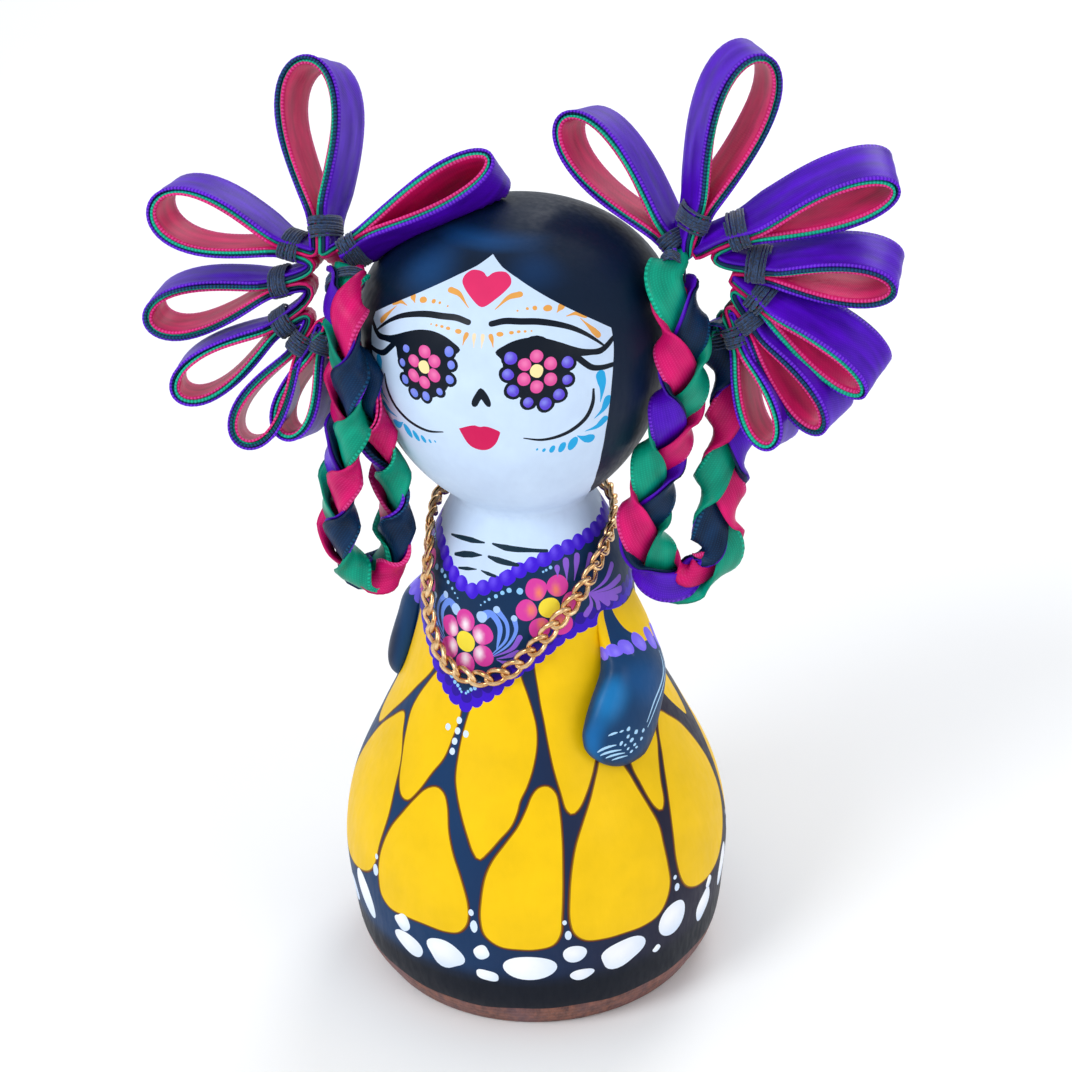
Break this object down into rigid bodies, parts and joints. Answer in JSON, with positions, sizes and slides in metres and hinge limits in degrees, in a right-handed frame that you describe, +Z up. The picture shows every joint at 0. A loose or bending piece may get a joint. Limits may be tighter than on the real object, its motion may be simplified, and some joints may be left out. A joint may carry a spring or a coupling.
{
  "type": "day of the dead figure",
  "caption": "Turned wooden doll painted as a day of the dead skeleton figure, with glued arms, ribbon rosettes, hanging plaited ribbons and a gold chain.",
  "frame": {"origin": "centre of the flat round underside of the base", "axes": "+Z up along the turning axis to the crown, the painted face looks along -Y, the figure's left hand is on +X"},
  "size_m": [0.1287, 0.0724, 0.1766],
  "materials": {
    "painted_wood": "hand-painted satin acrylic over turned wood, bare reddish wood at the base rim",
    "painted_arms": "hand-painted satin acrylic, dark blue with light bone strokes",
    "ribbon": "satin ribbon in purple, navy, green and pink",
    "gold_chain": "bright gold-coloured metal"
  },
  "bodies": {
    "root": {"turned_figure": "painted_wood", "left_arm": "painted_arms", "right_arm": "painted_arms", "left_ribbons": "ribbon", "right_ribbons": "ribbon", "necklace_chain": "gold_chain"}
  },
  "joints": []
}
